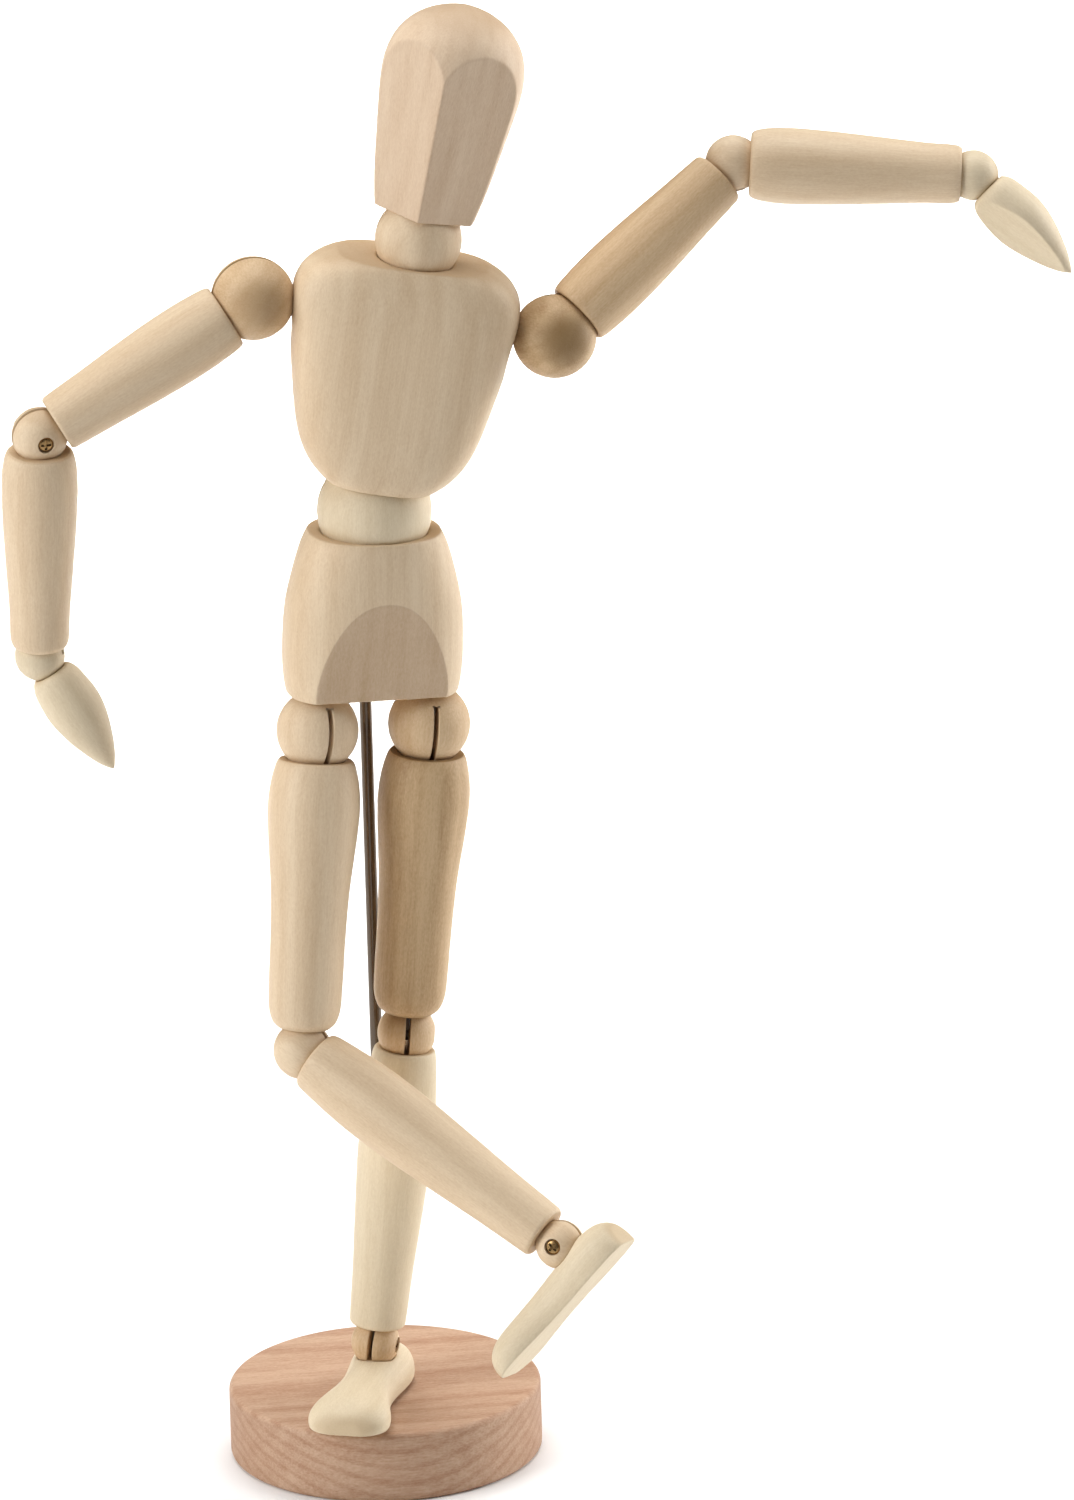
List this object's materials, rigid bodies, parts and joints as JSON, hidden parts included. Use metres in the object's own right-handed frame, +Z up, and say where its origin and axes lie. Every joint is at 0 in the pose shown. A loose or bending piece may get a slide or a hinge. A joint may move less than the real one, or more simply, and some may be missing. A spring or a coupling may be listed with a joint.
{
  "type": "artist mannequin",
  "caption": "Jointed wooden artist mannequin on a round stand, posed dancing on one leg; each wooden limb turns and bends on slotted balls with steel links.",
  "frame": {"origin": "centre of the underside of the round base", "axes": "+Z up; the figure faces -Y; its left side is at +X"},
  "size_m": [0.2122, 0.0865, 0.3027],
  "materials": {
    "base_wood": "satin",
    "rod_steel": "polished",
    "spring_steel": "plain",
    "link_steel": "plain",
    "screw_steel": "plain",
    "ball_wood": "satin",
    "torso_wood": "satin",
    "limb_wood": "satin"
  },
  "bodies": {
    "stand": {"base_disc": "base_wood", "support_rod": "rod_steel"},
    "pelvis": {"pelvis": "torso_wood", "hip_springs": "spring_steel"},
    "waist_ball": {"waist_ball": "ball_wood"},
    "waist_link": {"waist_link": "link_steel"},
    "chest": {"chest": "torso_wood", "spine_spring": "spring_steel", "shoulder_spring": "spring_steel"},
    "neck_ball": {"neck_ball": "ball_wood"},
    "neck_link": {"neck_link": "link_steel"},
    "head": {"head": "torso_wood"},
    "right_shoulder_ball": {"right_shoulder_ball": "ball_wood"},
    "right_shoulder_link": {"right_shoulder_link": "link_steel"},
    "right_upper_arm": {"right_upper_arm": "limb_wood", "right_arm_spring": "spring_steel", "right_elbow_link": "link_steel"},
    "right_forearm": {"right_elbow_ball": "ball_wood", "right_elbow_screw": "screw_steel", "right_forearm": "limb_wood", "right_wrist_link": "link_steel"},
    "right_wrist_ball": {"right_wrist_ball": "ball_wood"},
    "right_hand": {"right_hand": "limb_wood"},
    "left_shoulder_ball": {"left_shoulder_ball": "ball_wood"},
    "left_shoulder_link": {"left_shoulder_link": "link_steel"},
    "left_upper_arm": {"left_upper_arm": "limb_wood", "left_arm_spring": "spring_steel", "left_elbow_link": "link_steel"},
    "left_forearm": {"left_elbow_ball": "ball_wood", "left_elbow_screw": "screw_steel", "left_forearm": "limb_wood", "left_wrist_link": "link_steel"},
    "left_wrist_ball": {"left_wrist_ball": "ball_wood"},
    "left_hand": {"left_hand": "limb_wood"},
    "right_hip_ball": {"right_hip_ball": "ball_wood"},
    "right_hip_link": {"right_hip_link": "link_steel"},
    "right_thigh": {"right_thigh": "limb_wood", "right_thigh_spring": "spring_steel", "right_knee_link": "link_steel"},
    "right_shin": {"right_knee_ball": "ball_wood", "right_knee_screw": "screw_steel", "right_shin": "limb_wood", "right_ankle_link": "link_steel"},
    "right_ankle_ball": {"right_ankle_ball": "ball_wood", "right_ankle_screw": "screw_steel"},
    "right_foot": {"right_foot": "limb_wood"},
    "left_hip_ball": {"left_hip_ball": "ball_wood"},
    "left_hip_link": {"left_hip_link": "link_steel"},
    "left_thigh": {"left_thigh": "limb_wood", "left_thigh_spring": "spring_steel", "left_knee_link": "link_steel"},
    "left_shin": {"left_knee_ball": "ball_wood", "left_knee_screw": "screw_steel", "left_shin": "limb_wood", "left_ankle_link": "link_steel"},
    "left_ankle_ball": {"left_ankle_ball": "ball_wood", "left_ankle_screw": "screw_steel"},
    "left_foot": {"left_foot": "limb_wood"}
  },
  "joints": [
    {"name": "pelvis_turn", "type": "hinge", "parent": "stand", "child": "pelvis", "pos_m": [0.0004, 0.0052, 0.1], "axis": [0, 0, 1], "continuous": true},
    {"name": "waist_tilt", "type": "hinge", "parent": "pelvis", "child": "waist_ball", "pos_m": [0.00348, -0.00322, 0.19964], "axis": [0.9706, 0.2366, -0.0436], "range_deg": [-35, 35]},
    {"name": "waist_lean", "type": "hinge", "parent": "waist_ball", "child": "waist_link", "pos_m": [0.00348, -0.00322, 0.19964], "axis": [0.0373, -0.9986, -0.0374], "range_deg": [-35, 25]},
    {"name": "chest_turn", "type": "hinge", "parent": "waist_link", "child": "chest", "pos_m": [0.00348, -0.00322, 0.19964], "axis": [0.1727, -0.0305, 0.9845], "range_deg": [-80, 80]},
    {"name": "neck_tilt", "type": "hinge", "parent": "chest", "child": "neck_ball", "pos_m": [0.01381, -0.00493, 0.25567], "axis": [0.9843, 0.0432, -0.1713], "range_deg": [-40, 45]},
    {"name": "neck_lean", "type": "hinge", "parent": "neck_ball", "child": "neck_link", "pos_m": [0.01381, -0.00493, 0.25567], "axis": [-0.0492, 0.9987, -0.013], "range_deg": [-40, 40]},
    {"name": "head_turn", "type": "hinge", "parent": "neck_link", "child": "head", "pos_m": [0.01381, -0.00493, 0.25567], "axis": [0.2271, 0.0239, 0.9736], "range_deg": [-90, 90]},
    {"name": "right_shoulder_swing", "type": "hinge", "parent": "chest", "child": "right_shoulder_ball", "pos_m": [-0.01904, -0.00575, 0.24475], "axis": [-0.9843, -0.0432, 0.1713], "range_deg": [-150, 150]},
    {"name": "right_shoulder_raise", "type": "hinge", "parent": "right_shoulder_ball", "child": "right_shoulder_link", "pos_m": [-0.01904, -0.00575, 0.24475], "axis": [-0.1835, 0.982, -0.0445], "range_deg": [-18, 125]},
    {"name": "right_arm_turn", "type": "hinge", "parent": "right_shoulder_link", "child": "right_upper_arm", "pos_m": [-0.01904, -0.00575, 0.24475], "axis": [-0.8555, -0.1818, -0.4848], "range_deg": [-90, 90]},
    {"name": "right_elbow_bend", "type": "hinge", "parent": "right_upper_arm", "child": "right_forearm", "pos_m": [-0.06164, -0.0148, 0.22061], "axis": [0.2683, -0.9565, -0.1146], "range_deg": [-118, 4]},
    {"name": "right_wrist_bend", "type": "hinge", "parent": "right_forearm", "child": "right_wrist_ball", "pos_m": [-0.06351, -0.00967, 0.17342], "axis": [-0.268, -0.9589, -0.0936], "range_deg": [-95, 34]},
    {"name": "right_hand_turn", "type": "hinge", "parent": "right_wrist_ball", "child": "right_hand", "pos_m": [-0.06351, -0.00967, 0.17342], "axis": [0.5073, -0.0578, -0.8599], "range_deg": [-90, 90]},
    {"name": "left_shoulder_swing", "type": "hinge", "parent": "chest", "child": "left_shoulder_ball", "pos_m": [0.04002, -0.00316, 0.23447], "axis": [0.9843, 0.0432, -0.1713], "range_deg": [-150, 150]},
    {"name": "left_shoulder_raise", "type": "hinge", "parent": "left_shoulder_ball", "child": "left_shoulder_link", "pos_m": [0.04002, -0.00316, 0.23447], "axis": [-0.3106, 0.9335, -0.179], "range_deg": [-45, 125]},
    {"name": "left_arm_turn", "type": "hinge", "parent": "left_shoulder_link", "child": "left_upper_arm", "pos_m": [0.04002, -0.00316, 0.23447], "axis": [0.7271, 0.3546, 0.5878], "range_deg": [-90, 90]},
    {"name": "left_elbow_bend", "type": "hinge", "parent": "left_upper_arm", "child": "left_forearm", "pos_m": [0.07623, 0.01451, 0.26374], "axis": [0.0158, -0.8646, 0.5022], "range_deg": [-15, 108]},
    {"name": "left_wrist_bend", "type": "hinge", "parent": "left_forearm", "child": "left_wrist_ball", "pos_m": [0.12359, 0.01335, 0.26026], "axis": [0.0006, 0.9514, -0.3081], "range_deg": [-95, 27]},
    {"name": "left_hand_turn", "type": "hinge", "parent": "left_wrist_ball", "child": "left_hand", "pos_m": [0.12359, 0.01335, 0.26026], "axis": [0.6887, -0.2238, -0.6896], "range_deg": [-90, 90]},
    {"name": "right_hip_spread", "type": "hinge", "parent": "pelvis", "child": "right_hip_ball", "pos_m": [-0.00912, -0.00783, 0.15568], "axis": [-0.3372, 0.9403, 0.0462], "range_deg": [-8, 60]},
    {"name": "right_hip_swing", "type": "hinge", "parent": "right_hip_ball", "child": "right_hip_link", "pos_m": [-0.00912, -0.00783, 0.15568], "axis": [0.9316, 0.3404, -0.1276], "range_deg": [-75, 6]},
    {"name": "right_leg_turn", "type": "hinge", "parent": "right_hip_link", "child": "right_thigh", "pos_m": [-0.00912, -0.00783, 0.15568], "axis": [-0.0756, -0.1621, -0.9839], "range_deg": [-20, 90]},
    {"name": "right_knee_bend", "type": "hinge", "parent": "right_thigh", "child": "right_shin", "pos_m": [-0.014, -0.0183, 0.09212], "axis": [-0.3684, -0.9124, 0.1786], "range_deg": [-22, 9]},
    {"name": "right_ankle_bend", "type": "hinge", "parent": "right_shin", "child": "right_ankle_ball", "pos_m": [0.03616, -0.04497, 0.05932], "axis": [-0.3427, -0.9136, 0.2188], "range_deg": [-48, 60]},
    {"name": "right_foot_turn", "type": "hinge", "parent": "right_ankle_ball", "child": "right_foot", "pos_m": [0.03616, -0.04497, 0.05932], "axis": [-0.6803, 0.402, 0.6129], "range_deg": [-90, 90]},
    {"name": "left_hip_spread", "type": "hinge", "parent": "pelvis", "child": "left_hip_ball", "pos_m": [0.01301, -0.00244, 0.15468], "axis": [-0.1699, 0.9853, 0.0178], "range_deg": [0, 9]},
    {"name": "left_hip_swing", "type": "hinge", "parent": "left_hip_ball", "child": "left_hip_link", "pos_m": [0.01301, -0.00244, 0.15468], "axis": [0.9799, 0.1709, -0.1029], "range_deg": [-5, 0]},
    {"name": "left_leg_turn", "type": "hinge", "parent": "left_hip_link", "child": "left_thigh", "pos_m": [0.01301, -0.00244, 0.15468], "axis": [-0.0982, -0.0358, -0.9945], "range_deg": [-18, 11]},
    {"name": "left_knee_bend", "type": "hinge", "parent": "left_thigh", "child": "left_shin", "pos_m": [0.00667, -0.00475, 0.09044], "axis": [0.9946, 0.0315, -0.0994], "range_deg": [-25, 0]},
    {"name": "left_ankle_bend", "type": "hinge", "parent": "left_shin", "child": "left_ankle_ball", "pos_m": [-0.00152, -0.00725, 0.0254], "axis": [0.9625, -0.2471, -0.1117], "range_deg": [-4.5, 1.5]},
    {"name": "left_foot_turn", "type": "hinge", "parent": "left_ankle_ball", "child": "left_foot", "pos_m": [-0.00152, -0.00725, 0.0254], "axis": [0, 0, 1], "range_deg": [-90, 90]}
  ]
}
